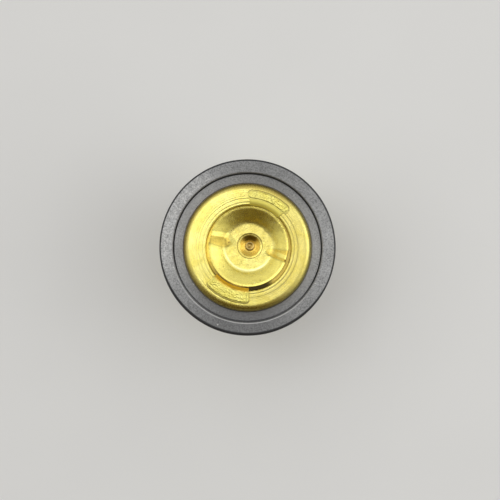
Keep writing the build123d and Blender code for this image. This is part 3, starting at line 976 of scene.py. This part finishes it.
dishSize = {
    "gap": 0.13, "columns": 600, "floorZ": 42.0,
    # the face, from the rim inward: rim, cone, floor, a small step and the funnel of the thimble
    "face": [
        (12.3, 2.72, 0.14), (11.6, 2.6, 1.2), (9.3, 1.33, 12.0), (7.45, 0.0, 2.2),
        (3.95, 0.0, 0.08), (3.8, -0.3, 0.08), (3.3, -0.42, 0.3), (2.6, -0.92, 3.0),
        (2.0, -1.28, 3.0), (1.45, -1.5, 0.5), (0.95, -1.52, 0.1),
    ],
    # the back, from the middle outward
    "back": [
        (0.95, -4.2, 0.1), (3.0, -4.2, 1.9), (3.95, -0.6, 0.3), (7.6, -0.6, 2.0),
        (11.65, 2.0, 0.6), (12.3, 2.0, 0.14),
    ],
    "rimRadius": 12.3, "rimInner": 11.5,
    # the rim's straight edge at each rib: how far in, half its width and how soft its ends are
    "endInset": 0.3, "endHalf": 1.7, "endSoft": 0.08, "leastCosine": 0.1,
    "rimBeads": 110, "beadDepth": 0.02, "beadFrom": 0.12, "beadSoft": 0.03,
    "ribAngle": 10.0, "ribSoft": 0.03, "leastLift": 0.003,
    # the tones keep inside a rib's feet, blend into each other and fade outward
    "toneInset": 0.15, "toneBlend": 0.1, "toneFade": 1.4, "footLift": 0.03,
    # a faint die line on the cone just outside the floor, on one side only
    "dieLine": {"radius": 8.05, "half": 0.2, "depth": 0.06, "side": 232.0, "span": 34.0, "soft": 7.0},
    "slipFrom": (7.0, 4.6), "sharp": 42,
}
# Each rib by rows: distance out from the dish's axis, the sideways places of its two feet, its greatest
# height over the plain dish and the slopes of its two flanks. The tones are bands of painted shade
# along it:
# start and end across from the first foot, how deep the band looks, and how far out it begins to fade
ribs = [
    {
        "side": 0.0, "tones": [(0.0, 1.0, 1.0, 20.0), (1.0, 2.2, 0.7, 8.2), (2.2, 5.0, 0.9, 20.0)],
        "rows": [(4.9, -0.67, -0.3, 0.0, 0.3, 0.3), (5.6, -1.0, 0.7, 0.03, 0.3, 0.3),
                 (6.8, -1.25, 1.1, 0.09, 0.25, 0.25), (7.8, -1.45, 1.3, 0.28, 0.22, 0.2),
                 (10.0, -1.85, 1.6, 0.28, 0.22, 0.2), (11.4, -2.0, 1.85, 0.22, 0.22, 0.2),
                 (12.4, -2.05, 1.9, 0.18, 0.22, 0.2)],
    },
    {
        "side": 180.0, "tones": [(1.65, 6.0, 0.8, 20.0)],
        "rows": [(4.4, -0.3, 0.3, 0.0, 0.3, 0.1), (5.7, -1.5, 1.3, 0.03, 0.3, 0.1),
                 (6.6, -2.6, 1.95, 0.1, 0.25, 0.13), (7.3, -2.8, 2.25, 0.45, 0.2, 0.13),
                 (9.0, -2.55, 2.25, 0.8, 0.2, 0.11), (10.9, -2.3, 2.1, 0.6, 0.2, 0.11),
                 (12.4, -2.19, 2.1, 0.5, 0.2, 0.11)],
    },
]


def ribLift(radius, turn):
    # over each rib the least of its two flanks and its crest, eased by a soft minimum, and
    # never below zero, eased by a soft maximum; with it, the tone of the bands along the ribs
    s = dishSize
    lift = np.zeros_like(radius)
    tone = np.zeros_like(radius)
    for rib in ribs:
        away = turn - math.radians(s["ribAngle"] + rib["side"])
        out, sideways = radius * np.cos(away), radius * np.sin(away)
        rows = np.array(rib["rows"]).T
        low, high, crest, rise, fall = (np.interp(out, rows[0], row) for row in rows[1:])
        sides = np.array((rise * (sideways - low), fall * (high - sideways), crest))
        least = -s["ribSoft"] * np.log(np.exp(-sides / s["ribSoft"]).sum(0))
        raised = 0.5 * (least + np.sqrt(least ** 2 + s["ribSoft"] ** 2))
        lift += np.where((out > rows[0][0]) & (raised > s["leastLift"]), raised, 0)
        across = sideways - low
        inside = eased(across, 0, s["toneInset"]) * eased(high - sideways, 0, s["toneInset"])
        inside *= eased(out, rows[0][0], rows[0][1])
        for start, end, depth, fade in rib["tones"]:
            band = eased(across, start - s["toneBlend"], start + s["toneBlend"])
            band *= eased(across, end + s["toneBlend"], end - s["toneBlend"])
            tone += depth * inside * band * eased(out, fade + s["toneFade"], fade)
    return lift, tone


def dieLineDepth(radius, turn):
    # a shallow round groove whose ends fade out along the arc
    line = dishSize["dieLine"]
    away = (np.degrees(turn) - line["side"] - viewTurn + 180) % 360 - 180
    along = 1 / (1 + np.exp((np.abs(away) - line["span"]) / line["soft"]))
    return line["depth"] * along * np.exp(-(((radius - line["radius"]) / line["half"]) ** 2))


def pressDish(radius, height, turn):
    # the ribs raise the dish and the die line lowers it; at a rib the flat rim is drawn in to a
    # straight edge, and the rim's edge is finely beaded
    s = dishSize
    lift = ribLift(radius, turn)[0] - dieLineDepth(radius, turn)
    rimWidth = s["rimRadius"] - s["rimInner"]
    for rib in ribs:
        away = turn - math.radians(s["ribAngle"] + rib["side"])
        near = 1 / (1 + np.exp((np.abs(radius * np.sin(away)) - s["endHalf"]) / s["endSoft"]))
        straight = (s["rimRadius"] - s["endInset"]) / np.maximum(np.cos(away), s["leastCosine"])
        drawn = np.maximum(s["rimRadius"] - straight, 0) * near
        beyond = np.maximum(radius - s["rimInner"], 0)
        radius = radius - beyond * drawn / rimWidth
    atRim = 1 / (1 + np.exp((s["rimRadius"] - s["beadFrom"] - radius) / s["beadSoft"]))
    radius = radius - s["beadDepth"] * atRim * (1 + np.sin(s["rimBeads"] * turn))
    return radius, s["floorZ"] + height + lift


def toneRibs(dish):
    # ribFlank holds the painted shade tones along the ribs, and ribFoot is 1 where the lift is that of
    # a foot, for painted shade lines there
    x, y = (cornersOf(dish)[:, :2] - dishAxis).T
    lift, tone = ribLift(np.hypot(x, y), np.arctan2(y, x))
    footLift = dishSize["footLift"]
    foot = np.exp(-(((lift - footLift) / footLift) ** 2)) * (lift > 0)
    for name, values in (("ribFoot", foot), ("ribFlank", tone)):
        dish.data.attributes.new(name, "FLOAT", "POINT").data.foreach_set("value", values)


def slipThimble(points):
    # all within the thimble moves off the dish's centre
    out = np.hypot(*(points[:, :2] - dishAxis).T)
    points[:, :2] += eased(out, *dishSize["slipFrom"])[:, None] * thimbleSlip
    return points


def makeValveDish():
    # the pressed section carried round the valve's axis, with its thimble a little off centre
    s = dishSize
    section = spaced(bentLine(s["face"] + s["back"]), s["gap"])
    dish = turned("valveDish", section, s["columns"], dishAxis, pressDish)
    toneRibs(dish)
    reshaped(dish, slipThimble)
    smoothed(dish, s["sharp"])
    place(dish, "valve", "valve_dish", finishes["dish"])


makeValveDish()


capsuleSections = {
    "capsuleCup": [
        (0.0, 40.77), (0.26, 40.73, 0.1), (0.5, 40.55, 0.1), (0.78, 40.87, 0.12),
        (1.08, 40.95, 0.16), (1.42, 40.75, 0.1), (1.42, 40.45, 0.05), (0.95, 40.45),
        (0.95, 37.8), (7.0, 37.8, 1.2), (7.0, 24.6, 0.25), (8.9, 24.6, 0.5),
        (8.9, 20.0, 0.55), (7.5, 20.0, 0.12), (7.5, 20.6), (8.3, 20.6), (8.3, 24.0),
        (6.4, 24.0), (6.4, 36.8), (0.0, 36.8),
    ],
    "pistonGuide": [
        (2.03, 23.0), (8.3, 23.0), (8.3, 20.6), (5.6, 20.6, 0.3), (5.6, 17.6, 0.3),
        (4.6, 17.6, 0.4), (4.6, 7.3, 0.2), (3.8, 6.5, 0.2), (2.03, 6.5, 0.15),
    ],
    "piston": [
        (0.0, 0.15), (1.67, 0.15, 0.1), (2.0, 0.48, 0.15), (2.0, 18.97, 0.15),
        (1.67, 19.3, 0.1), (0.0, 19.3),
    ],
}
turnedPieces = [
    # name, body, node, slot, finish, columns
    ("capsuleCup", "valve", "capsule_cup", "capsule_brass", "cup", 160),
    ("pistonGuide", "valve", "piston_guide", "capsule_brass", "cup", 128),
    ("piston", "frame", "piston", "polished_steel", "steel", 96),
]
turnedMesh = {"arcStep": 15, "gap": 0.5, "sharp": 35}
studFrom = (37.9, 38.9)  # the stud leans between these heights
plateSize = {
    "sheet": 0.7, "edge": 0.12, "gap": 0.4, "columns": 192,
    "path": [(7.05, 24.6), (8.95, 24.6, 0.4), (8.95, 18.8, 1.1), (13.1, 18.8, 1.1), (13.1, 20.8)],
}


def leanStud(points):
    # the stud stands up through the dish's slipped thimble
    share = eased(points[:, 2], *studFrom)
    points[:, :2] += share[:, None] * (dishAxis - valveAxis + thimbleSlip)
    return points


def makeTurnedPieces():
    # each piece is a closed section carried round the valve's axis
    for name, body, node, slot, kind, columns in turnedPieces:
        line = bentLine(capsuleSections[name], turnedMesh["arcStep"])
        made = turned(name, spaced(line, turnedMesh["gap"]), columns, valveAxis)
        if name == "capsuleCup":
            reshaped(made, leanStud)
        smoothed(made, turnedMesh["sharp"])
        place(made, body, node, finishes[kind])


def makeSpringPlate():
    # pressed section carried round the valve's axis
    s = plateSize
    section = spaced(sheetSection(s["path"], s["sheet"], s["edge"]), s["gap"])
    plate = turned("springPlate", section, s["columns"], valveAxis)
    smoothed(plate, turnedMesh["sharp"])
    place(plate, "valve", "spring_plate", finishes["cage"])


makeTurnedPieces()
makeSpringPlate()


springSize = {
    "wire": 0.95, "lowZ": 19.5, "highZ": 42.5, "grind": 0.5, "endPitch": 1.96, "turns": 4.5,
    "lowRadius": 11.1, "highRadius": 12.95, "lift": 8.0,
    "stepsPerTurn": 90, "sides": 24, "easing": 6, "sharp": 40,
}


def makeReturnSpring():
    # a round wire carried up a helix: one closed turn, then the open turns whose radius grows
    # with height, then one closed turn; heights past the ground ends are pressed flat to them
    s = springSize
    firstZ = s["lowZ"] + s["wire"] - s["grind"]
    rise = s["highZ"] - s["wire"] + s["grind"] - firstZ - 2 * s["endPitch"]
    total = s["turns"] + 2
    along = np.linspace(0, total, int(total * s["stepsPerTurn"]) + 1)
    marks = [0, 1, 1 + s["turns"], total]
    z = np.interp(along, marks, [0, s["endPitch"], s["endPitch"] + rise, 2 * s["endPitch"] + rise])
    radius = np.interp(along, marks, [s["lowRadius"]] * 2 + [s["highRadius"]] * 2)
    window = 2 * s["easing"] + 1
    soft = np.ones(window) / window
    z = np.pad(z, s["easing"], "reflect", reflect_type="odd")
    z = np.convolve(z, soft, "valid") + firstZ
    radius = np.convolve(np.pad(radius, s["easing"], "edge"), soft, "valid")
    turn = 2 * math.pi * along
    line = np.stack((radius * np.cos(turn), radius * np.sin(turn), z), 1)
    line[:, :2] += valveAxis
    tangent = np.gradient(line, axis=0)
    tangent /= np.linalg.norm(tangent, axis=1)[:, None]
    outward = np.stack((np.cos(turn), np.sin(turn), 0 * turn), 1)
    upward = np.cross(tangent, outward)
    upward /= np.linalg.norm(upward, axis=1)[:, None]
    outward = np.cross(upward, tangent)
    ring = np.linspace(0, 2 * math.pi, s["sides"], endpoint=False)[None, :, None]
    around = np.cos(ring) * outward[:, None] + np.sin(ring) * upward[:, None]
    grid = line[:, None] + s["wire"] * around
    grid[..., 2] = np.clip(grid[..., 2], s["lowZ"], s["highZ"])
    spring = gridObject("returnSpring", grid, wrapRows=False)
    smoothed(spring, s["sharp"])
    place(spring, "frame", "return_spring", finishes["spring"])
    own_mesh(spring)


makeReturnSpring()
